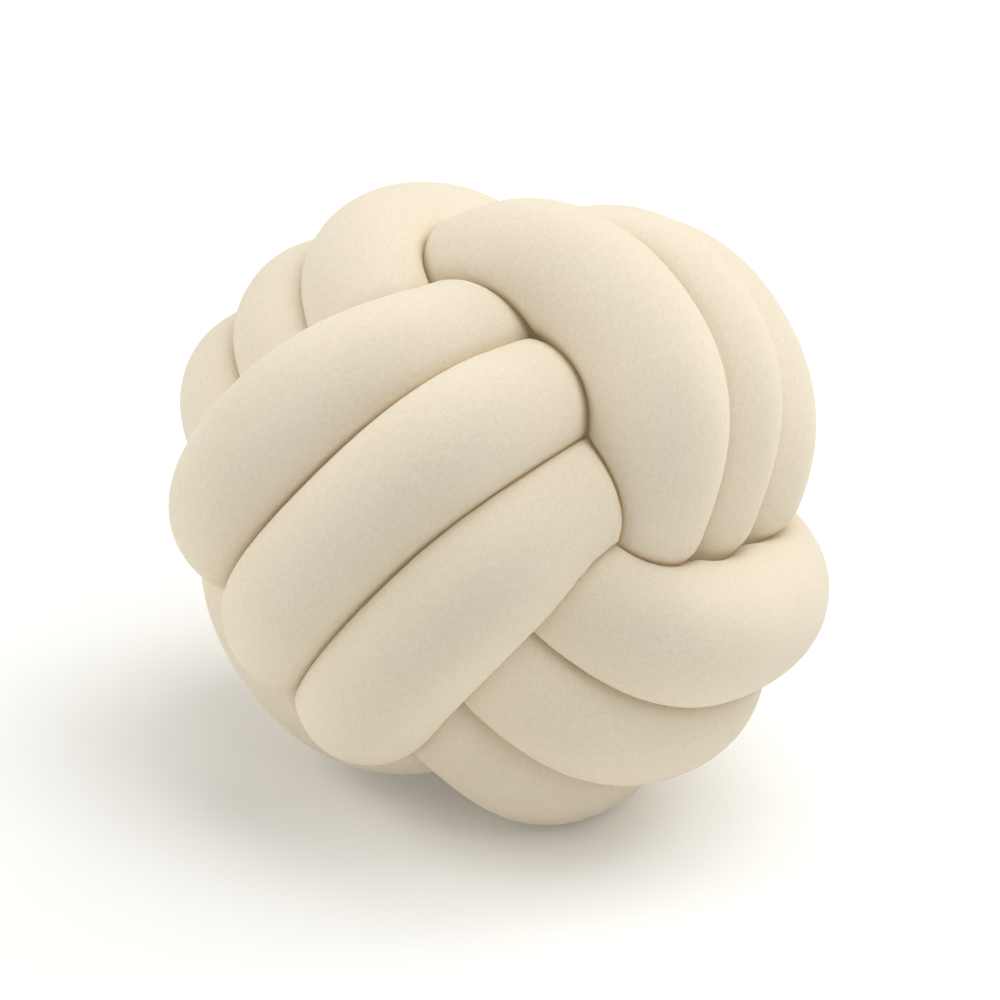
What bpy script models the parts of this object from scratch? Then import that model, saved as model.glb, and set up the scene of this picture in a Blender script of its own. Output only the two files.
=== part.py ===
"""Knot cushion: one long stuffed jersey tube, tied in a monkey's fist.

The tube goes round the ball nine times, in three bands of three turns. Each band lies over the
next one and under the one before it, so no band is on top of both others. A lap is half a turn:
it comes up at one side of the ball, runs over one face and goes down under the next band. The
tube's two ends are tucked into the core and sewn together, so the whole cushion is one closed
tube and one solid.

The centre line is worked out lap by lap in the ball's own axes. The skin is then pressed: where
two stretches of tube meet, each stops halfway to the other, which makes the creases, and where
nothing is in the way the tube stays round.
"""

import math
from collections import namedtuple

import bmesh
import bpy
import numpy as np
from mathutils import Euler
from mathutils.bvhtree import BVHTree

MM = 0.001
X, Y, Z = range(3)

# The stuffed tube, which swells to fill the hollow in the core
TUBE_RADIUS = 28.5 * MM
CORE_SWELL = 14 * MM
CORE_FROM = 76 * MM
CORE_TO = 46 * MM

# Its skin: rings of points round the centre line, closer together where the tube bends
RINGS = 400
RING_SIDES = 14
CLOSER_IN_BENDS = 2

# How the skin is pressed. Creases between stretches keep a hair's gap. A stretch this long
# doesn't press on itself, and the inside of a bend folds at a share of the bend's radius. The
# sharpness sets how square the pressed corners are.
CREASE_GAP = 1.0 * MM
OWN_STRETCH = 24 * MM
TIGHTEST_FOLD = 0.9
PRESS_SHARPNESS = 8

# Flat faces can cross where the round skin doesn't: those are drawn in until this gap is clear
FACE_GAP = 0.3 * MM
EASING = 0.4 * MM
MOST_EASINGS = 40

# A lap's centre line, from the middle of the ball: how high it runs over its face, and how far
# out it goes down beside the core, for the middle lap and for the two beside it
HEIGHT_MIDDLE = 110 * MM
HEIGHT_SIDE = 102 * MM
REACH_MIDDLE = 69 * MM
REACH_SIDE = 65 * MM
SPACING_OUTSIDE = 44.5 * MM
SPACING_INSIDE = 34.5 * MM
BOXINESS = 0.717

# The bands in the order they are tied. A band's laps run over the two faces on its face axis,
# along its run axis, and lie side by side along its stack axis.
Band = namedtuple("Band", "face run stack wider")
BANDS = (
    Band(face=Y, run=Z, stack=X, wider=-4 * MM),
    Band(face=Z, run=X, stack=Y, wider=4 * MM),
    Band(face=X, run=Y, stack=Z, wider=0),
)
# The signs of the first lap: the side its face is on, its place in the band, the way it runs
Way = namedtuple("Way", "face row run")
FIRST_WAY = Way(face=-1, row=+1, run=-1)

# Nothing hand-tied is even. Each face's three laps stand out or in, lie to one side, and slant.
Face = namedtuple("Face", "out aside slant", defaults=(0, 0, 0))
FACES = {
    (X, +1): Face(out=5 * MM, aside=-1 * MM, slant=1 * MM),
    (Y, +1): Face(out=2 * MM, aside=-7 * MM, slant=-15 * MM),
    (Y, -1): Face(out=-13 * MM),
    (Z, +1): Face(out=-4 * MM, aside=-1 * MM),
    (Z, -1): Face(out=1 * MM, aside=3 * MM, slant=-8 * MM),
}

# Single laps that bulge: outwards, aside, and at the shoulders where they turn down, past the
# shoulder, outwards and aside. The far shoulder is towards the run axis's positive side.
Lap = namedtuple("Lap", "out aside far near far_out near_aside", defaults=(0,) * 6)
LAPS = {
    (X, +1, +1): Lap(out=7 * MM, aside=3 * MM, far=-5 * MM, near=-1 * MM, far_out=4 * MM),
    (X, +1, 0): Lap(out=1 * MM, far=2 * MM, near=3 * MM, far_out=5 * MM, near_aside=-1.5 * MM),
    (X, +1, -1): Lap(far=-8 * MM, near=4 * MM, far_out=5 * MM, near_aside=-3 * MM),
    (Y, +1, +1): Lap(out=4 * MM, far=8 * MM, near=-4 * MM),
    (Y, +1, 0): Lap(
        aside=0.5 * MM, far=-8 * MM, near=-5 * MM, far_out=2 * MM, near_aside=-1.5 * MM
    ),
    (Y, +1, -1): Lap(out=-4 * MM, aside=-3 * MM, far=-3 * MM, near=5 * MM),
    (Z, -1, +1): Lap(far=-3 * MM, near=13 * MM),
    (Z, -1, 0): Lap(far=-3 * MM, far_out=-1.5 * MM, near_aside=1.5 * MM),
    (Z, -1, -1): Lap(out=-3 * MM, far=-10 * MM, near=-4.5 * MM),
    (Z, +1, +1): Lap(out=1 * MM, aside=-3 * MM, near=3 * MM),
    (Z, +1, 0): Lap(far=-3 * MM),
    (Z, +1, -1): Lap(out=6 * MM, aside=3 * MM, near=-5 * MM),
}

# The way of the two tucked ends through the core, from the last lap to the first, in the ball's
# own axes: a hairpin that fills the hollow between the laps. They are sewn together at its bend.
TUCKED_ENDS = (
    (42 * MM, -42 * MM, 20 * MM),
    (18 * MM, -14 * MM, -12 * MM),
    (-10 * MM, 14 * MM, -24 * MM),
    (-26 * MM, 26 * MM, 4 * MM),
    (-12 * MM, 10 * MM, 30 * MM),
    (8 * MM, -14 * MM, 40 * MM),
    (24 * MM, -36 * MM, 52 * MM),
)

# How the ball stands: its own axes turned into the room's, and how deep the surface presses in
STAND_DEGREES = (56, -10, -118)
FLAT_DEPTH = 5.0 * MM

# How the centre line is worked out: guide points at equal angles of each lap, a smooth line
# through them, and a little easing. A lap moves over to its neighbour's row beyond an angle, and
# a band's first and last laps stop short, so that the tube turns into the next band.
LAPS_IN_BAND = 6
LAP_STEP_DEGREES = 11.25
ROW_CHANGE_DEGREES = 50
QUARTER_DEGREES = 90
END_LAP_DEGREES = 55
STEPS_BETWEEN = 8
LINE_POINTS = 400
SOFTENING = 2
SMALL = 1e-6

CREAM = (0.72, 0.64, 0.50, 1)


def curved(value):
    """A sine or cosine raised to a power under 1, its sign kept, so that an arc is squared off."""
    return math.copysign(abs(value) ** BOXINESS, value)


def lap_point(band, way, row, angle):
    """One point of a lap, at an angle from the middle of its run over the face."""
    whole = FACES.get((band.face, way.face), Face())
    single = LAPS.get((band.face, way.face, round(row)), Lap())
    height = HEIGHT_MIDDLE + (HEIGHT_SIDE - HEIGHT_MIDDLE) * abs(row) + whole.out
    reach = REACH_MIDDLE + (REACH_SIDE - REACH_MIDDLE) * abs(row) + band.wider
    along = way.run * math.sin(angle)
    outside = math.cos(angle) ** 2
    shoulder = math.sin(2 * angle) ** 2
    spacing = SPACING_OUTSIDE * outside + SPACING_INSIDE * (1 - outside)
    rise = height * curved(math.cos(angle)) + single.out * outside
    beside = (whole.aside + whole.slant * along + single.aside) * outside
    if along > 0:
        rise += single.far_out * shoulder
        past = single.far * shoulder
    else:
        beside += single.near_aside * shoulder
        past = -single.near * shoulder
    point = np.zeros(3)
    point[band.face] = way.face * rise
    point[band.run] = way.run * reach * curved(math.sin(angle)) + past
    point[band.stack] = row * spacing + beside
    return point


def lap_points(band, way, row_before, row_after):
    """A lap's points. Towards each end it moves half-way to the row of the lap that follows on."""
    start = -QUARTER_DEGREES if row_before is not None else -END_LAP_DEGREES
    end = QUARTER_DEGREES if row_after is not None else END_LAP_DEGREES
    points = []
    for degrees in np.arange(start, end - SMALL, LAP_STEP_DEGREES):
        change = max(0, abs(degrees) - ROW_CHANGE_DEGREES)
        change /= 2 * (QUARTER_DEGREES - ROW_CHANGE_DEGREES)
        other = row_before if degrees < 0 else row_after
        row = way.row if other is None else way.row + (other - way.row) * change
        points.append(lap_point(band, way, row, math.radians(degrees)))
    return points


def band_points(band, first):
    """The points of a band's six laps, over one face and the other by turns, and the last way."""
    rows = [first.row * (1 - lap // 2) for lap in range(LAPS_IN_BAND)]
    points = []
    for lap, row in enumerate(rows):
        turned = -1 if lap % 2 else 1
        way = Way(face=first.face * turned, row=row, run=first.run * turned)
        before = rows[lap - 1] if lap else None
        after = rows[lap + 1] if lap + 1 < LAPS_IN_BAND else None
        points += lap_points(band, way, before, after)
    return points, way


def way_on(band, last, upcoming):
    """How the next band starts: at the corner of the ball where the last lap of this one ends."""
    corner = {band.face: last.face, band.stack: last.row, band.run: last.run}
    return Way(corner[upcoming.face], corner[upcoming.stack], -corner[upcoming.run])


def knot_points():
    """The guide points of the whole centre line: the three bands, then the two tucked ends."""
    points = []
    way = FIRST_WAY
    for band, upcoming in zip(BANDS, BANDS[1:] + BANDS[:1]):
        laps, last = band_points(band, way)
        points += laps
        way = way_on(band, last, upcoming)
    points += [np.array(point) for point in TUCKED_ENDS]
    return np.array(points)


def through(points):
    """A closed line through the guide points, as a Catmull-Rom spline with steps between them."""
    before, after = np.roll(points, 1, axis=0), np.roll(points, -1, axis=0)
    second = np.roll(points, -2, axis=0)
    line = []
    for part in np.arange(STEPS_BETWEEN) / STEPS_BETWEEN:
        line.append(
            points
            + (after - before) * part / 2
            + (2 * before - 5 * points + 4 * after - second) * part**2 / 2
            + (3 * points - before - 3 * after + second) * part**3 / 2
        )
    return np.stack(line, axis=1).reshape(-1, 3)


def evenly(line, count):
    """The closed line cut into equal steps."""
    ring = np.vstack([line, line[:1]])
    steps = np.linalg.norm(np.diff(ring, axis=0), axis=1)
    travelled = np.concatenate([[0], np.cumsum(steps)])
    stops = np.linspace(0, travelled[-1], count, endpoint=False)
    return np.stack([np.interp(stops, travelled, ring[:, axis]) for axis in range(3)], axis=1)


def softened(line):
    """The closed line with its small kinks eased."""
    for _ in range(SOFTENING):
        line = (np.roll(line, 1, axis=0) + 2 * line + np.roll(line, -1, axis=0)) / 4
    return line


def travel(line):
    """How far along the closed line each of its points lies, and its whole length."""
    steps = np.linalg.norm(np.roll(line, -1, axis=0) - line, axis=1)
    return np.cumsum(steps) - steps, steps.sum()


def bends(line):
    """The curvature at each point of the closed line, as an arrow to the bend's own side."""
    ahead = np.roll(line, -1, axis=0) - line
    step_ahead = np.linalg.norm(ahead, axis=1, keepdims=True)
    behind, step_behind = np.roll(ahead, 1, axis=0), np.roll(step_ahead, 1, axis=0)
    turned = ahead / step_ahead - behind / step_behind
    return 2 * turned / (step_ahead + step_behind)


def ring_places(line):
    """Which points of the line carry a ring: they are closer together where the tube bends."""
    weight = 1 + CLOSER_IN_BENDS * TUBE_RADIUS * np.linalg.norm(bends(line), axis=1)
    passed = np.cumsum(weight)
    return np.searchsorted(passed, np.arange(RINGS) / RINGS * passed[-1])


def pressed(line, places, outward):
    """How far the skin reaches from each ring's centre, with the tube pressed against itself.

    Two round tubes that are squeezed together meet on the plane halfway between their centre
    lines, so the skin stops there, less the crease gap. On the inside of a bend it stops short
    of the bend's own centre. Otherwise it reaches the tube's free radius, which is larger in
    the core.
    """
    travelled, length = travel(line)
    bend = bends(line)
    depth = (CORE_FROM - np.linalg.norm(line[places], axis=1)) / (CORE_FROM - CORE_TO)
    free = TUBE_RADIUS + CORE_SWELL * np.clip(depth, 0, 1)
    reach = np.empty(outward.shape[:2])
    for ring, place in enumerate(places):
        apart = np.abs(travelled - travelled[place])
        apart = np.minimum(apart, length - apart)
        to_others = line[apart > OWN_STRETCH] - line[place]
        towards = np.maximum(outward[ring] @ to_others.T, SMALL)
        halfway = (np.sum(to_others**2, axis=1) / (2 * towards)).min(axis=1) - CREASE_GAP
        into_bend = np.maximum(outward[ring] @ bend[place], SMALL)
        stop = np.minimum(halfway, TIGHTEST_FOLD / into_bend)
        limits = stop**-PRESS_SHARPNESS + free[ring] ** -PRESS_SHARPNESS
        reach[ring] = limits ** (-1 / PRESS_SHARPNESS)
    return reach


def crossing_points(mesh):
    """The indices of the points of all faces that cross another face."""
    mesh.calc_loop_triangles()
    corners = np.empty(len(mesh.loop_triangles) * 3, np.int32)
    mesh.loop_triangles.foreach_get("vertices", corners)
    triangles = corners.reshape(-1, 3)
    points = [vertex.co for vertex in mesh.vertices]
    tree = BVHTree.FromPolygons(points, triangles.tolist(), all_triangles=True)
    pairs = np.array(tree.overlap(tree), np.int32).reshape(-1, 2)
    first, second = triangles[pairs[:, 0]], triangles[pairs[:, 1]]
    joined = (first[:, :, None] == second[:, None, :]).any(axis=(1, 2))
    return np.unique(first[~joined])


def shape_skin(mesh, line, places):
    """Press the tube's skin, then draw it in a little wherever flat faces still cross."""
    centres = line[places]
    skin = np.empty(len(mesh.vertices) * 3, np.float32)
    mesh.vertices.foreach_get("co", skin)
    outward = skin.reshape(RINGS, RING_SIDES, 3) - centres[:, None]
    outward /= np.linalg.norm(outward, axis=2, keepdims=True)
    reach = pressed(line, places, outward)
    for _ in range(MOST_EASINGS):
        swollen = centres[:, None] + outward * (reach + FACE_GAP)[..., None]
        mesh.vertices.foreach_set("co", swollen.ravel())
        crossing = crossing_points(mesh)
        if len(crossing) == 0:
            break
        reach.ravel()[crossing] -= EASING
    return centres[:, None] + outward * reach[..., None]


def standing(skin):
    """The skin turned as the ball stands, and sunk into the floor by the flat spots' depth."""
    turn = Euler([math.radians(angle) for angle in STAND_DEGREES]).to_matrix()
    skin = skin @ np.array(turn).T
    skin[..., Z] -= skin[..., Z].min() + FLAT_DEPTH
    for axis in (X, Y):
        skin[..., axis] -= (skin[..., axis].min() + skin[..., axis].max()) / 2
    return skin


def flatten_base(mesh):
    """Cut the skin off level with the floor, and close each cut with a flat face."""
    shape = bmesh.new()
    shape.from_mesh(mesh)
    for face in shape.faces:
        face.smooth = True
    parts = shape.verts[:] + shape.edges[:] + shape.faces[:]
    cut = bmesh.ops.bisect_plane(
        shape, geom=parts, dist=FACE_GAP, plane_co=(0, 0, 0), plane_no=(0, 0, 1), clear_inner=True
    )["geom_cut"]
    for vertex in cut:
        if isinstance(vertex, bmesh.types.BMVert):
            vertex.co.z = 0
    rim = [edge for edge in cut if isinstance(edge, bmesh.types.BMEdge)]
    bmesh.ops.holes_fill(shape, edges=rim, sides=0)
    bmesh.ops.recalc_face_normals(shape, faces=shape.faces[:])
    shape.to_mesh(mesh)
    shape.free()


def round_tube(centres, name):
    """A closed round tube along the centre line, as a mesh whose points come ring by ring."""
    curve = bpy.data.curves.new(name, "CURVE")
    curve.dimensions = "3D"
    curve.bevel_depth = TUBE_RADIUS
    curve.bevel_resolution = RING_SIDES // 2 - 2
    line = curve.splines.new("POLY")
    line.points.add(len(centres) - 1)
    line.use_cyclic_u = True
    for point, centre in zip(line.points, centres):
        point.co = (*centre, 1)
    guide = bpy.data.objects.new(name, curve)
    bpy.context.scene.collection.objects.link(guide)
    evaluated = guide.evaluated_get(bpy.context.evaluated_depsgraph_get())
    mesh = bpy.data.meshes.new_from_object(evaluated)
    bpy.data.objects.remove(guide)
    bpy.data.curves.remove(curve)
    return mesh


def jersey():
    """Cream stretch jersey, brushed matt."""
    material = bpy.data.materials.new("cream_jersey")
    material.use_nodes = True
    shader = material.node_tree.nodes["Principled BSDF"]
    shader.inputs["Base Color"].default_value = CREAM
    shader.inputs["Roughness"].default_value = 0.95
    shader.inputs["Metallic"].default_value = 0
    shader.inputs["Sheen Weight"].default_value = 0.3
    return material


def stuffed_tube(collection):
    """The cushion's one piece: the tube along the knot, pressed, and set on the floor."""
    line = through(softened(evenly(through(knot_points()), LINE_POINTS)))
    places = ring_places(line)
    mesh = round_tube(line[places], "stuffed_tube")
    mesh.vertices.foreach_set("co", standing(shape_skin(mesh, line, places)).ravel())
    flatten_base(mesh)
    mesh.materials.clear()
    mesh.materials.append(jersey())
    tube = bpy.data.objects.new("stuffed_tube", mesh)
    collection.objects.link(tube)
    return tube


def main():
    """Clear the scene and build the cushion in a collection of its own."""
    for leftover in list(bpy.data.objects):
        bpy.data.objects.remove(leftover)
    collection = bpy.data.collections.new("knot_cushion")
    bpy.context.scene.collection.children.link(collection)
    stuffed_tube(collection)


if __name__ == "__main__":
    main()
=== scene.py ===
"""Looks of a knot cushion: one long stuffed jersey tube, tied in a monkey's fist.

The tube goes round the ball nine times, in three bands of three turns, and each band lies over
the next one and under the one before it. A lap is half a turn over one face of the ball. The
tube's skin is pressed against its neighbours, relaxed as stretched cloth, and dressed in brushed
cream jersey.
"""

import logging
import math
from dataclasses import dataclass, field
from enum import Enum, IntEnum
from typing import Iterator, NamedTuple

import bpy
import numpy as np
from mathutils import Euler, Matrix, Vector


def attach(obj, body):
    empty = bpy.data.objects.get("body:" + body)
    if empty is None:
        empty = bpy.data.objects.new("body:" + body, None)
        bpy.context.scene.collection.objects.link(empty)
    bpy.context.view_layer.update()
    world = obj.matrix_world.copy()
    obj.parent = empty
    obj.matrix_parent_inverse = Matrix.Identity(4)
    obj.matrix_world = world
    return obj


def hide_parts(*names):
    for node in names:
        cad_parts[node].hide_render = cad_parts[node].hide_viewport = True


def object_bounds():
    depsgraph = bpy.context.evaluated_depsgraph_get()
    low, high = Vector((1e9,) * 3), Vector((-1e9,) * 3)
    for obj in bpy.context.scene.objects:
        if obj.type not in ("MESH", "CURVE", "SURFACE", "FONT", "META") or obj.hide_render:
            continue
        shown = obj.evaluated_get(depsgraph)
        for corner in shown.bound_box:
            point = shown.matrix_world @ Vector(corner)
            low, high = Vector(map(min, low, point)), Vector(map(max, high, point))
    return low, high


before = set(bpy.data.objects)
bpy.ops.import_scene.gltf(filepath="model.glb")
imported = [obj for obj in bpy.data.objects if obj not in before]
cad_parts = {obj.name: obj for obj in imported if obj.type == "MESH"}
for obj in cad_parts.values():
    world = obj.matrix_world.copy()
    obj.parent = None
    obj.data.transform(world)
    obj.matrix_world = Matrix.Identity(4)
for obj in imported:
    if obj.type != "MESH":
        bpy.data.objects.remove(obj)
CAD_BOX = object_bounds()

log = logging.getLogger("knot_cushion")

MM = 0.001
CAD_NODE = "stuffed_tube"
# Name of the attribute that sets how strongly the painted crease glow shows
CREASE_GLOW_MASK = "crease"
CLOTH_MAP = "cloth"
SMALL = 1e-6
QUARTER_DEGREES = 90


class Axis(IntEnum):
    """The ball's own three axes, one through each pair of opposite faces."""

    X = 0
    Y = 1
    Z = 2


class Band(NamedTuple):
    """A band of three turns.

    Its laps run over the two faces on one axis, along another, and lie side by side along the
    third. Wider bands go down further out, in metres.
    """

    face: Axis
    run: Axis
    stack: Axis
    wider: float


class Way(NamedTuple):
    """A lap's signs: the side its face is on, its place in the band, and the way it runs."""

    face: int
    row: float
    run: int


class FaceEase(NamedTuple):
    """How a whole face's laps stand out, lie to one side, and slant, in metres."""

    out: float = 0
    aside: float = 0
    slant: float = 0


class LapEase(NamedTuple):
    """How one lap bulges, in metres.

    It bulges outwards and aside over the face, and past, outwards and aside at its shoulders.
    The far shoulder is the one on the run axis's positive side.
    """

    out: float = 0
    aside: float = 0
    far: float = 0
    near: float = 0
    far_out: float = 0
    near_aside: float = 0


BANDS = (
    Band(face=Axis.Y, run=Axis.Z, stack=Axis.X, wider=-4 * MM),
    Band(face=Axis.Z, run=Axis.X, stack=Axis.Y, wider=4 * MM),
    Band(face=Axis.X, run=Axis.Y, stack=Axis.Z, wider=0),
)
FACES = {
    (Axis.X, +1): FaceEase(out=5 * MM, aside=-1 * MM, slant=1 * MM),
    (Axis.Y, +1): FaceEase(out=2 * MM, aside=-7 * MM, slant=-15 * MM),
    (Axis.Y, -1): FaceEase(out=-13 * MM),
    (Axis.Z, +1): FaceEase(out=-4 * MM, aside=-1 * MM),
    (Axis.Z, -1): FaceEase(out=1 * MM, aside=3 * MM, slant=-8 * MM),
}
LAPS = {
    (Axis.X, +1, +1): LapEase(out=7 * MM, aside=3 * MM, far=-5 * MM, near=-1 * MM, far_out=4 * MM),
    (Axis.X, +1, 0): LapEase(
        out=1 * MM, far=2 * MM, near=3 * MM, far_out=5 * MM, near_aside=-1.5 * MM
    ),
    (Axis.X, +1, -1): LapEase(far=-8 * MM, near=4 * MM, far_out=5 * MM, near_aside=-3 * MM),
    (Axis.Y, +1, +1): LapEase(out=4 * MM, far=8 * MM, near=-4 * MM),
    (Axis.Y, +1, 0): LapEase(
        aside=0.5 * MM, far=-8 * MM, near=-5 * MM, far_out=2 * MM, near_aside=-1.5 * MM
    ),
    (Axis.Y, +1, -1): LapEase(out=-4 * MM, aside=-3 * MM, far=-3 * MM, near=5 * MM),
    (Axis.Z, -1, +1): LapEase(far=-3 * MM, near=13 * MM),
    (Axis.Z, -1, 0): LapEase(far=-3 * MM, far_out=-1.5 * MM, near_aside=1.5 * MM),
    (Axis.Z, -1, -1): LapEase(out=-3 * MM, far=-10 * MM, near=-4.5 * MM),
    (Axis.Z, +1, +1): LapEase(out=1 * MM, aside=-3 * MM, near=3 * MM),
    (Axis.Z, +1, 0): LapEase(far=-3 * MM),
    (Axis.Z, +1, -1): LapEase(out=6 * MM, aside=3 * MM, near=-5 * MM),
}
# The two tucked ends' way through the core, from the last lap to the first
TUCKED_ENDS = (
    (42 * MM, -42 * MM, 20 * MM),
    (18 * MM, -14 * MM, -12 * MM),
    (-10 * MM, 14 * MM, -24 * MM),
    (-26 * MM, 26 * MM, 4 * MM),
    (-12 * MM, 10 * MM, 30 * MM),
    (8 * MM, -14 * MM, 40 * MM),
    (24 * MM, -36 * MM, 52 * MM),
)


@dataclass(frozen=True)
class Knot:
    """The tube's centre line, worked out lap by lap in the ball's own axes.

    The heights are over a face's middle and beside it, and the reaches are how far out a lap
    goes down beside the core. Boxiness squares a lap's arc off.
    """

    height_middle: float = 110 * MM
    height_side: float = 102 * MM
    reach_middle: float = 69 * MM
    reach_side: float = 65 * MM
    spacing_outside: float = 44.5 * MM
    spacing_inside: float = 34.5 * MM
    boxiness: float = 0.717
    laps_in_band: int = 6
    first_way: Way = Way(face=-1, row=+1, run=-1)
    lap_step_degrees: float = 11.25
    row_change_degrees: float = 50
    end_lap_degrees: float = 55
    steps_between: int = 8
    line_points: int = 400
    softening: int = 2

    def curved(self, value: float) -> float:
        """Square off a sine or cosine by raising it to the boxiness, with its sign kept."""
        return math.copysign(abs(value) ** self.boxiness, value)

    def lap_point(self, band: Band, way: Way, row: float, angle: float) -> np.ndarray:
        """Find one point of a lap.

        Args:
            band: The band that the lap is in.
            way: The lap's signs.
            row: The row, which changes along the ends of a lap.
            angle: The angle from the middle of the run over the face, in radians.

        Returns:
            The point, in the ball's own axes.
        """
        whole = FACES.get((band.face, way.face), FaceEase())
        single = LAPS.get((band.face, way.face, round(row)), LapEase())
        height = self.height_middle + (self.height_side - self.height_middle) * abs(row) + whole.out
        reach = self.reach_middle + (self.reach_side - self.reach_middle) * abs(row) + band.wider
        along = way.run * math.sin(angle)
        outside = math.cos(angle) ** 2
        shoulder = math.sin(2 * angle) ** 2
        spacing = self.spacing_outside * outside + self.spacing_inside * (1 - outside)
        rise = height * self.curved(math.cos(angle)) + single.out * outside
        beside = (whole.aside + whole.slant * along + single.aside) * outside
        if along > 0:
            rise += single.far_out * shoulder
            past = single.far * shoulder
        else:
            beside += single.near_aside * shoulder
            past = -single.near * shoulder
        point = np.zeros(3)
        point[band.face] = way.face * rise
        point[band.run] = way.run * reach * self.curved(math.sin(angle)) + past
        point[band.stack] = row * spacing + beside
        return point

    def lap(
        self, band: Band, way: Way, before: float | None, after: float | None
    ) -> Iterator[np.ndarray]:
        """Go along a lap. Towards each end it moves half-way to the next lap's row.

        Args:
            band: The band that the lap is in.
            way: The lap's signs.
            before: The row of the lap before it in the band, or None.
            after: The row of the lap after it in the band, or None.

        Returns:
            The lap's points, one by one.
        """
        start = -QUARTER_DEGREES if before is not None else -self.end_lap_degrees
        end = QUARTER_DEGREES if after is not None else self.end_lap_degrees
        for degrees in np.arange(start, end - SMALL, self.lap_step_degrees):
            change = max(0, abs(degrees) - self.row_change_degrees)
            change /= 2 * (QUARTER_DEGREES - self.row_change_degrees)
            other = before if degrees < 0 else after
            row = way.row if other is None else way.row + (other - way.row) * change
            yield self.lap_point(band, way, row, math.radians(degrees))

    def guide_points(self) -> np.ndarray:
        """Lay the three bands, lap by lap, and then the two tucked ends.

        Returns:
            The guide points that the tube's middle goes through.
        """
        points: list[np.ndarray] = []
        first = self.first_way
        for band, upcoming in zip(BANDS, BANDS[1:] + BANDS[:1]):
            rows = [first.row * (1 - lap // 2) for lap in range(self.laps_in_band)]
            for lap, row in enumerate(rows):
                turned = -1 if lap % 2 else 1
                way = Way(face=first.face * turned, row=row, run=first.run * turned)
                before = rows[lap - 1] if lap else None
                after = rows[lap + 1] if lap + 1 < self.laps_in_band else None
                points += self.lap(band, way, before, after)
            corner = {band.face: way.face, band.stack: way.row, band.run: way.run}
            first = Way(corner[upcoming.face], corner[upcoming.stack], -corner[upcoming.run])
        points += [np.array(point) for point in TUCKED_ENDS]
        return np.array(points)

    def through(self, points: np.ndarray) -> np.ndarray:
        """Draw a closed Catmull-Rom line through points.

        Args:
            points: The points that it goes through.

        Returns:
            The line's points, with steps between the given ones.
        """
        before, after = np.roll(points, 1, axis=0), np.roll(points, -1, axis=0)
        second = np.roll(points, -2, axis=0)
        line = []
        for part in np.arange(self.steps_between) / self.steps_between:
            line.append(
                points
                + (after - before) * part / 2
                + (2 * before - 5 * points + 4 * after - second) * part**2 / 2
                + (3 * points - before - 3 * after + second) * part**3 / 2
            )
        return np.stack(line, axis=1).reshape(-1, 3)

    def centre_line(self) -> np.ndarray:
        """Draw the whole closed centre line, with its small kinks eased.

        Returns:
            The centre line's points, in the ball's own axes.
        """
        line = evenly(self.through(self.guide_points()), self.line_points)
        for _ in range(self.softening):
            line = (np.roll(line, 1, axis=0) + 2 * line + np.roll(line, -1, axis=0)) / 4
        return self.through(line)


def travel(line: np.ndarray) -> tuple[np.ndarray, float]:
    """Measure along a closed line.

    Args:
        line: The closed line's points.

    Returns:
        How far along each point lies, and the line's whole length.
    """
    steps = np.linalg.norm(np.roll(line, -1, axis=0) - line, axis=1)
    return np.cumsum(steps) - steps, float(steps.sum())


def evenly(line: np.ndarray, count: int) -> np.ndarray:
    """Cut a closed line into equal steps.

    Args:
        line: The closed line's points.
        count: The number of steps.

    Returns:
        The new points.
    """
    travelled, length = travel(line)
    stops = np.linspace(0, length, count, endpoint=False)
    return np.stack(
        [np.interp(stops, travelled, line[:, axis], period=length) for axis in range(3)], axis=1
    )


def bends(line: np.ndarray) -> np.ndarray:
    """Find how a closed line bends.

    Args:
        line: The closed line's points.

    Returns:
        The curvature at each point, towards the inside of the bend.
    """
    ahead = np.roll(line, -1, axis=0) - line
    step_ahead = np.linalg.norm(ahead, axis=1, keepdims=True)
    behind, step_behind = np.roll(ahead, 1, axis=0), np.roll(step_ahead, 1, axis=0)
    return 2 * (ahead / step_ahead - behind / step_behind) / (step_ahead + step_behind)


def cross_axes(line: np.ndarray) -> tuple[np.ndarray, np.ndarray]:
    """Find two axes across the closed line at each point, which turn as little as they can.

    Args:
        line: The closed line's points.

    Returns:
        The two unit axes at each point. They match where the line closes.
    """
    ahead = np.roll(line, -1, axis=0) - np.roll(line, 1, axis=0)
    ahead /= np.linalg.norm(ahead, axis=1, keepdims=True)
    side = np.empty_like(line)
    side[0] = np.cross(ahead[0], (0, 0, 1))
    side[0] /= np.linalg.norm(side[0])
    for place in range(1, len(line)):
        side[place] = side[place - 1] - ahead[place] * (side[place - 1] @ ahead[place])
        side[place] /= np.linalg.norm(side[place])
    up = np.cross(ahead, side)
    last = side[-1] - ahead[0] * (side[-1] @ ahead[0])
    slip = math.atan2(last @ up[0], last @ side[0])
    turn = -slip * np.arange(len(line))[:, None] / len(line)
    return side * np.cos(turn) + up * np.sin(turn), up * np.cos(turn) - side * np.sin(turn)


def around(side: np.ndarray, up: np.ndarray, sides: int) -> np.ndarray:
    """Fan out directions round each ring.

    Args:
        side: Each ring's first axis.
        up: Each ring's second axis.
        sides: The number of points round a ring.

    Returns:
        The unit directions to each ring's points.
    """
    angles = (np.arange(sides) * 2 * math.pi / sides)[None, :, None]
    return side[:, None] * np.cos(angles) + up[:, None] * np.sin(angles)


def finer(grid: np.ndarray, axis: int) -> np.ndarray:
    """Put a new row half-way between each two rows of a closed grid.

    Args:
        grid: The grid's values.
        axis: The axis that the rows lie along.

    Returns:
        The grid with twice the rows.
    """
    between = (grid + np.roll(grid, -1, axis=axis)) / 2
    shape = list(grid.shape)
    shape[axis] *= 2
    return np.stack([grid, between], axis=axis + 1).reshape(shape)


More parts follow.
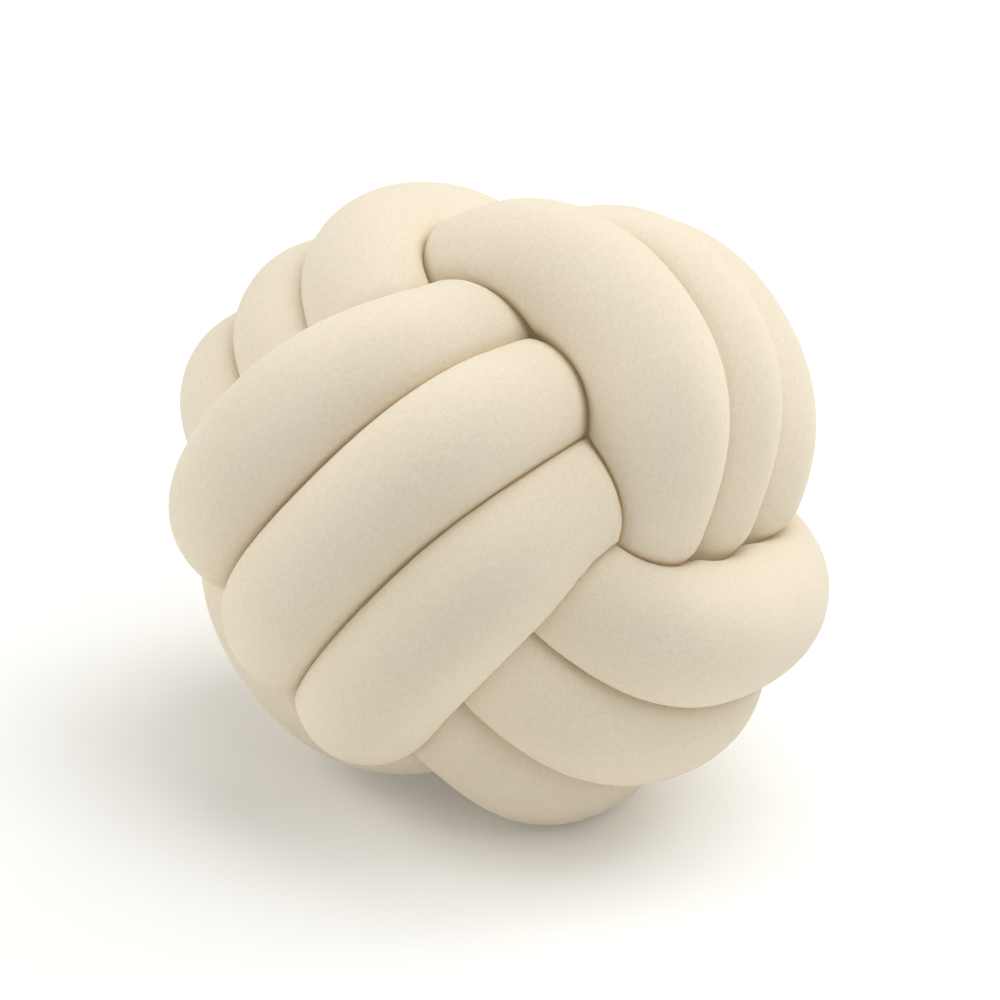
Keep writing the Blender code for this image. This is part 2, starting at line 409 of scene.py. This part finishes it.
def tube_mesh(name: str, skin: np.ndarray) -> bpy.types.Mesh:
    """Make a closed mesh of four-sided faces.

    Args:
        name: The mesh's name.
        skin: A closed tube's points, ring by ring.

    Returns:
        The mesh, shaded smooth.
    """
    rings, sides = skin.shape[:2]
    ring, point = (index.ravel() for index in np.indices((rings, sides)))
    ring_on, point_on = (ring + 1) % rings, (point + 1) % sides
    corners = np.stack(
        [
            ring * sides + point,
            ring * sides + point_on,
            ring_on * sides + point_on,
            ring_on * sides + point,
        ],
        axis=1,
    )
    mesh = bpy.data.meshes.new(name)
    mesh.from_pydata(skin.reshape(-1, 3).tolist(), [], corners.tolist())
    mesh.shade_smooth()
    return mesh


def map_cloth(
    mesh: bpy.types.Mesh, rings: int, sides: int, along: np.ndarray, radius: float
) -> None:
    """Give a tube's mesh a map in metres: round the tube, and along it.

    Args:
        mesh: The tube's mesh.
        rings: The number of rings.
        sides: The number of points round the tube.
        along: How far along each ring lies, and the tube's whole length last.
        radius: The tube's free radius.
    """
    ring, point = (index.ravel() for index in np.indices((rings, sides)))
    round_it = np.arange(sides + 1) * 2 * math.pi * radius / sides
    corners = [(point, ring), (point + 1, ring), (point + 1, ring + 1), (point, ring + 1)]
    places = [np.stack([round_it[across], along[down]], axis=1) for across, down in corners]
    cloth = mesh.uv_layers.new(name=CLOTH_MAP)
    cloth.data.foreach_set("uv", np.stack(places, axis=1).astype(np.float32).ravel())


def linear(hex_colour: str) -> tuple[float, float, float, float]:
    """Turn an sRGB colour to linear.

    Args:
        hex_colour: The colour, such as "#FFFFFF".

    Returns:
        Its linear red, green, blue and alpha.
    """
    channels = [int(hex_colour[start : start + 2], 16) / 255 for start in (1, 3, 5)]
    bright = [c / 12.92 if c <= 0.04045 else ((c + 0.055) / 1.055) ** 2.4 for c in channels]
    return (*bright, 1.0)


def add_node(
    material: bpy.types.Material, kind: str, settings: dict | None = None, **links: object
) -> bpy.types.Node:
    """Add one node to a material, with its settings and its links.

    Args:
        material: The material whose tree the node goes into.
        kind: The node's type, such as "ShaderNodeBump".
        settings: Node properties by name, and socket values by the socket's own name.
        links: For each socket, with _ for a space in its name, the output that feeds it.

    Returns:
        The new node.
    """
    node = material.node_tree.nodes.new(kind)
    for name, value in (settings or {}).items():
        if name in node.inputs:
            node.inputs[name].default_value = value
        else:
            setattr(node, name, value)
    for name, output in links.items():
        material.node_tree.links.new(output, node.inputs[name.replace("_", " ")])
    return node


class Density(Enum):
    """How fine the tube's skin is cut, as points round it for a given look."""

    QUICK = 40
    FULL = 60


@dataclass(frozen=True)
class BrushedJersey:
    """Stretch jersey of polyester, brushed until a short nap hides its knit, in warm cream.

    The eye sees a matt cloth with no gloss, a soft pale rim where the nap catches the light,
    and a fine speckle of tufts combed along the tube. The bottom of each crease is given a
    faint warm glow: painted light, an emission that stands in for light bounced between the turns.
    """

    cream: str = "#EADEC9"
    shade: str = "#E1D5BE"
    nap: str = "#FFF8EC"
    # Painted warm light in the creases: an emission colour standing in for light bounced between
    # the turns
    painted_crease_glow: str = "#403829"
    roughness: float = 0.92
    sheen: float = 0.22
    sheen_roughness: float = 0.45
    reflection: float = 0.25
    # The nap's fibres are about 0.1 mm apart, too fine to show, so they are drawn as grains of
    # about 1 mm, and the tufts that they gather in as 2 to 3 mm
    grain_width: float = 1.0 * MM
    grain_length: float = 1.3 * MM
    grain_height: float = 0.13 * MM
    grain_detail: float = 2.0
    grain_roughness: float = 0.6
    grain_waver: float = 0.4
    tuft_width: float = 2.0 * MM
    tuft_length: float = 2.8 * MM
    tuft_share: float = 0.35
    # Brushing leaves the nap lying a little differently every 60 mm or so
    drift: float = 60 * MM
    drift_detail: float = 1.0
    drift_share: float = 0.25
    shade_below: float = 0.38
    cream_above: float = 0.60

    def fibres(
        self, cloth: bpy.types.Material, width: float, length: float
    ) -> bpy.types.NodeSocket:
        """Add fibres combed along the tube, as a stretched noise on the tube's own map.

        Args:
            cloth: The material whose tree it goes into.
            width: The size of a grain across the tube.
            length: The size of a grain along the tube.

        Returns:
            The noise's output.
        """
        place = add_node(cloth, "ShaderNodeUVMap", {"uv_map": CLOTH_MAP})
        combed = add_node(
            cloth,
            "ShaderNodeMapping",
            {"Scale": (1 / width, 1 / length, 1)},
            Vector=place.outputs["UV"],
        )
        noise = add_node(
            cloth,
            "ShaderNodeTexNoise",
            {
                "Scale": 1.0,
                "Detail": self.grain_detail,
                "Roughness": self.grain_roughness,
                "Distortion": self.grain_waver,
            },
            Vector=combed.outputs["Vector"],
        )
        return noise.outputs["Fac"]

    def material(self) -> bpy.types.Material:
        """Build the cloth's material. The nap follows the tube's own map, in metres.

        Returns:
            The material.
        """
        cloth = bpy.data.materials.new("brushed_jersey")
        cloth.use_nodes = True
        shader = cloth.node_tree.nodes["Principled BSDF"]
        for name, value in {
            "Roughness": self.roughness,
            "Sheen Weight": self.sheen,
            "Sheen Roughness": self.sheen_roughness,
            "Sheen Tint": linear(self.nap),
            "Specular IOR Level": self.reflection,
            # The emission colour paints warm bounced light into the creases
            "Emission Color": linear(self.painted_crease_glow),
        }.items():
            shader.inputs[name].default_value = value
        nap = add_node(
            cloth,
            "ShaderNodeMix",
            {"data_type": "FLOAT", "Factor": self.tuft_share},
            A=self.fibres(cloth, self.grain_width, self.grain_length),
            B=self.fibres(cloth, self.tuft_width, self.tuft_length),
        )
        place = add_node(cloth, "ShaderNodeTexCoord")
        drift = add_node(
            cloth,
            "ShaderNodeTexNoise",
            {"Scale": 1 / self.drift, "Detail": self.drift_detail},
            Vector=place.outputs["Object"],
        )
        tone = add_node(
            cloth,
            "ShaderNodeMix",
            {"data_type": "FLOAT", "Factor": self.drift_share},
            A=nap.outputs["Result"],
            B=drift.outputs["Fac"],
        )
        tint = add_node(cloth, "ShaderNodeValToRGB", Fac=tone.outputs["Result"])
        low, high = tint.color_ramp.elements
        low.position, low.color = self.shade_below, linear(self.shade)
        high.position, high.color = self.cream_above, linear(self.cream)
        relief = add_node(
            cloth,
            "ShaderNodeBump",
            {"Strength": 1.0, "Distance": self.grain_height},
            Height=nap.outputs["Result"],
        )
        # The crease attribute sets the emission strength, painting the warm glow into the bottom of
        # each crease
        crease = add_node(cloth, "ShaderNodeAttribute", {"attribute_name": CREASE_GLOW_MASK})
        for output, name in (
            (tint.outputs["Color"], "Base Color"),
            (relief.outputs["Normal"], "Normal"),
            (crease.outputs["Fac"], "Emission Strength"),
        ):
            cloth.node_tree.links.new(output, shader.inputs[name])
        return cloth


@dataclass
class JerseyTube:
    """The cushion's one piece: the stuffed tube, pressed where its turns meet."""

    knot: Knot = field(default_factory=Knot)
    radius: float = 28.5 * MM
    rings_step: int = 2
    # The tube swells this much as it nears the ball's centre
    core_swell: float = 14 * MM
    core_from: float = 76 * MM
    core_to: float = 46 * MM
    # A stretch of the tube presses on others within some radii, and on itself only if far along
    radii_searched: float = 4
    own_stretch: float = 24 * MM
    tightest_fold: float = 0.9
    # Creases keep a hair's gap, their mouths are rounded, and their painted glow fades out as the
    # gap opens
    crease_gap: float = 0.05 * MM
    painted_glow_width: float = 1.5 * MM
    mouth: float = 6.5 * MM
    contact_ease: float = 0.4 * MM
    # The stuffing fills shallow hollows between turns, and less of the deep ones
    fill_depth: float = 3 * MM
    fill_more: float = 1.3
    fill_spread: int = 8
    # The skin settles as cloth
    pressure: float = 4
    cloth_quality: int = 3
    cloth_mass: float = 0.2
    cloth_stretch: float = 15
    cloth_shear: float = 7.5
    cloth_bending: float = 0.5
    settling_frames: int = 20
    most_move: float = 6 * MM
    # How the ball lies on the floor
    stand_degrees: tuple[float, float, float] = (56, -10, -118)
    flat_depth: float = 5 * MM
    floor_gap: float = 0.2 * MM
    tightness: float = 0.8

    def pressed(
        self, line: np.ndarray, places: np.ndarray, outward: np.ndarray, free_too: bool = True
    ) -> np.ndarray:
        """Find how far the skin reaches, with the tube pressed against itself.

        Args:
            line: The centre line.
            places: Which of its points carry a ring.
            outward: The unit directions from each ring's centre to its points.
            free_too: Whether the tube's own radius also limits the reach.

        Returns:
            The reach of each point of each ring.
        """
        travelled, length = travel(line)
        bend = bends(line)
        halfway, stop = np.empty(outward.shape[:2]), np.empty(outward.shape[:2])
        for ring, place in enumerate(places):
            apart = np.abs(travelled - travelled[place])
            apart = np.minimum(apart, length - apart)
            to_others = line[apart > self.own_stretch] - line[place]
            far = np.sum(to_others**2, axis=1)
            near = far < (self.radii_searched * self.radius) ** 2
            towards = np.maximum(outward[ring] @ to_others[near].T, SMALL)
            halfway[ring] = (far[near] / (2 * towards)).min(axis=1) - self.crease_gap
            into_bend = np.maximum(outward[ring] @ bend[place], SMALL)
            stop[ring] = np.minimum(halfway[ring], self.tightest_fold / into_bend)
        if not free_too:
            return stop
        depth = np.linalg.norm(line[places], axis=1, keepdims=True)
        depth = (self.core_from - depth) / (self.core_from - self.core_to)
        free = self.radius + self.core_swell * np.clip(depth, 0, 1)
        gap = halfway - free
        fill = self.fill_more * np.clip(np.minimum(gap, 2 * self.fill_depth - gap), 0, None)
        for _ in range(self.fill_spread):
            fill = (np.roll(fill, 1, axis=0) + 2 * fill + np.roll(fill, -1, axis=0)) / 4
            fill = (np.roll(fill, 1, axis=1) + 2 * fill + np.roll(fill, -1, axis=1)) / 4
        free = free + fill
        eased = stop + self.contact_ease
        close = np.clip(1 - np.abs(eased - free) / self.mouth, 0, None)
        rounded = np.minimum(eased, free) - close**2 * self.mouth / 4
        return np.minimum(stop, rounded)

    def standing(self, skin: np.ndarray) -> np.ndarray:
        """Turn the skin as the ball stands, and press its lowest turns flat on the floor.

        Args:
            skin: The skin's points, in the ball's own axes.

        Returns:
            The points as they stand, in the middle of the CAD model's box.
        """
        turn = Euler([math.radians(angle) for angle in self.stand_degrees]).to_matrix()
        skin = skin @ np.array(turn).T
        skin[..., Axis.Z] -= skin[..., Axis.Z].min() + self.flat_depth
        low, high = CAD_BOX
        for axis in (Axis.X, Axis.Y):
            middle = (skin[..., axis].min() + skin[..., axis].max()) / 2
            skin[..., axis] += (low[axis] + high[axis]) / 2 - middle
        skin[..., Axis.Z] = np.maximum(skin[..., Axis.Z], self.floor_gap)
        return skin

    def settled(self, skin: np.ndarray) -> np.ndarray:
        """Let the skin settle as stretched cloth, with the stuffing's pressure behind it.

        Args:
            skin: The pressed skin's points, ring by ring.

        Returns:
            How each point moves, no further than the cap.
        """
        cloth = bpy.data.objects.new("settling_cloth", tube_mesh("settling_cloth", skin))
        bpy.context.scene.collection.objects.link(cloth)
        modifier = cloth.modifiers.new("cloth", "CLOTH")
        settings = modifier.settings
        settings.quality = self.cloth_quality
        settings.mass = self.cloth_mass
        settings.tension_stiffness = settings.compression_stiffness = self.cloth_stretch
        settings.shear_stiffness = self.cloth_shear
        settings.bending_stiffness = self.cloth_bending
        settings.use_pressure = True
        settings.uniform_pressure_force = self.pressure
        settings.effector_weights.gravity = 0
        modifier.point_cache.frame_end = self.settling_frames
        for step in range(1, self.settling_frames + 1):
            bpy.context.scene.frame_set(step)
        bpy.ops.object.select_all(action="DESELECT")
        bpy.context.view_layer.objects.active = cloth
        bpy.ops.object.modifier_apply(modifier=modifier.name)
        settled = np.empty(skin.size, np.float32)
        cloth.data.vertices.foreach_get("co", settled)
        bpy.data.objects.remove(cloth)
        bpy.context.scene.frame_set(1)
        moved = settled.reshape(skin.shape) - skin
        far = np.linalg.norm(moved, axis=2, keepdims=True)
        log.info("cloth moved %.1f mm at most, %.1f mm on average", far.max() / MM, far.mean() / MM)
        return moved * np.minimum(1, self.most_move / np.maximum(far, SMALL))

    def build(self) -> bpy.types.Object:
        """Build the tube: pressed, settled, pressed again and set on the floor.

        Returns:
            The tube's object, not yet dressed.
        """
        sides = Density.FULL.value
        line = self.knot.centre_line()
        side, up = cross_axes(line)
        places = np.arange(0, len(line), self.rings_step)
        centres = line[places]
        outward = around(side[places], up[places], sides)
        skin = centres[:, None] + outward * self.pressed(line, places, outward)[..., None]
        # Every second ring and point settles, and those between go along
        moved = self.settled(skin[::2, ::2])
        skin += finer(finer(moved, 0), 1)
        outward = skin - centres[:, None]
        reach = np.linalg.norm(outward, axis=2)
        outward /= reach[..., None]
        reach = np.maximum(reach, self.pressed(line, places, outward))
        reach = np.minimum(reach, self.pressed(line, places, outward, free_too=False))
        skin = centres[:, None] + outward * reach[..., None]
        gap = self.pressed(line, places, outward, free_too=False)
        gap -= np.linalg.norm(skin - centres[:, None], axis=2)
        travelled, length = travel(line)
        mesh = tube_mesh("jersey_tube", self.standing(skin))
        map_cloth(mesh, len(places), sides, np.append(travelled[places], length), self.radius)
        # Painted glow mask: 1 where the skin touches its neighbour, fading to 0 as the gap opens
        crease = mesh.attributes.new(CREASE_GLOW_MASK, "FLOAT", "POINT")
        crease.data.foreach_set("value", np.clip(1 - gap / self.painted_glow_width, 0, 1).ravel())
        tube = bpy.data.objects.new("jersey_tube", mesh)
        bpy.context.scene.collection.objects.link(tube)
        return tube

    def dress(self, tube: bpy.types.Object, finish: BrushedJersey) -> None:
        """Give the tube its cloth, and tell the frame what it stands for.

        Args:
            tube: The tube's object.
            finish: Its cloth.
        """
        tube.data.materials.append(finish.material())
        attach(tube, "root")
        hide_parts(CAD_NODE)


class Lamp(NamedTuple):
    """A square soft box: its name, where it stands, its side, and its power in watts."""

    name: str
    place: tuple[float, float, float]
    side: float
    watts: float


@dataclass(frozen=True)
class MattPaper:
    """Uncoated white paper for the floor. The eye sees an even pale ground with no gloss.

    It glows, and more so further off, so that it stays pale where the lamps don't reach.
    """

    colour: str = "#F2F2F0"
    roughness: float = 1.0
    reflection: float = 0.0
    glow_near: float = 0.12
    glow_far: float = 0.72
    glow_from: float = 0.5
    glow_to: float = 3.0

    def material(self) -> bpy.types.Material:
        """Build the paper's material.

        Returns:
            The material.
        """
        paper = bpy.data.materials.new("matt_white_paper")
        paper.use_nodes = True
        shader = paper.node_tree.nodes["Principled BSDF"]
        for name, value in {
            "Base Color": linear(self.colour),
            "Roughness": self.roughness,
            "Specular IOR Level": self.reflection,
            "Emission Color": linear(self.colour),
        }.items():
            shader.inputs[name].default_value = value
        place = add_node(paper, "ShaderNodeTexCoord")
        far = add_node(
            paper, "ShaderNodeVectorMath", {"operation": "LENGTH"}, Vector=place.outputs["Object"]
        )
        glow = add_node(
            paper,
            "ShaderNodeMapRange",
            {
                "From Min": self.glow_from,
                "From Max": self.glow_to,
                "To Min": self.glow_near,
                "To Max": self.glow_far,
            },
            Value=far.outputs["Value"],
        )
        paper.node_tree.links.new(glow.outputs["Result"], shader.inputs["Emission Strength"])
        return paper


@dataclass(frozen=True)
class Studio:
    """A pale floor, soft boxes and an even white room."""

    floor: MattPaper = MattPaper()
    floor_side: float = 30.0
    room_colour: str = "#FFFFFF"
    room_strength: float = 0.25
    aim: tuple[float, float, float] = (0, 0, 0.12)
    lamps: tuple[Lamp, ...] = (
        Lamp(name="overhead", place=(0.3, 0.2, 2.4), side=2.0, watts=32),
        Lamp(name="left", place=(-2.2, -0.2, 1.2), side=1.6, watts=23.5),
        Lamp(name="near_right", place=(0.75, -0.55, 1.15), side=0.8, watts=4.5),
        Lamp(name="back_right", place=(1.5, 1.5, 1.6), side=1.4, watts=20),
    )

    def lay_floor(self) -> None:
        """Lay the floor, which is stage and not part of the cushion."""
        bpy.ops.object.select_all(action="DESELECT")
        bpy.ops.mesh.primitive_plane_add(size=self.floor_side, location=(0, 0, 0))
        floor = bpy.context.object
        floor.name = "floor"
        floor.data.materials.append(self.floor.material())

    def build(self) -> None:
        """Lay the floor, hang the lamps and light the room."""
        self.lay_floor()
        for lamp in self.lamps:
            bpy.ops.object.light_add(type="AREA", location=lamp.place)
            light = bpy.context.object
            light.name = lamp.name
            light.data.size = lamp.side
            light.data.energy = lamp.watts
            towards = Vector(self.aim) - Vector(lamp.place)
            light.rotation_euler = towards.to_track_quat("-Z", "Y").to_euler()
        room = bpy.data.worlds.new("room")
        room.use_nodes = True
        sky = room.node_tree.nodes["Background"]
        sky.inputs["Color"].default_value = linear(self.room_colour)
        sky.inputs["Strength"].default_value = self.room_strength
        bpy.context.scene.world = room
        bpy.context.scene.view_settings.view_transform = "Standard"


@dataclass(frozen=True)
class Camera:
    """The camera's place, its turn and its lens."""

    place: tuple[float, float, float] = (-0.0055, -1.2354, 0.6534)
    turn_degrees: tuple[float, float, float] = (66.31, -6.56, 2.68)
    lens_mm: float = 118.5
    sensor_mm: float = 36.0

    def build(self) -> None:
        """Set the camera up and look through it."""
        data = bpy.data.cameras.new("camera")
        data.lens = self.lens_mm
        data.sensor_width = self.sensor_mm
        camera = bpy.data.objects.new("camera", data)
        camera.location = self.place
        camera.rotation_euler = [math.radians(angle) for angle in self.turn_degrees]
        bpy.context.scene.collection.objects.link(camera)
        bpy.context.scene.camera = camera


def main() -> None:
    """Build the cushion, its cloth and the studio around it."""
    logging.basicConfig(level=logging.INFO)
    tube_maker = JerseyTube()
    tube = tube_maker.build()
    tube_maker.dress(tube, BrushedJersey())
    log.info("%s: %d faces", tube.name, len(tube.data.polygons))
    Studio().build()
    Camera().build()


if __name__ == "__main__":
    main()
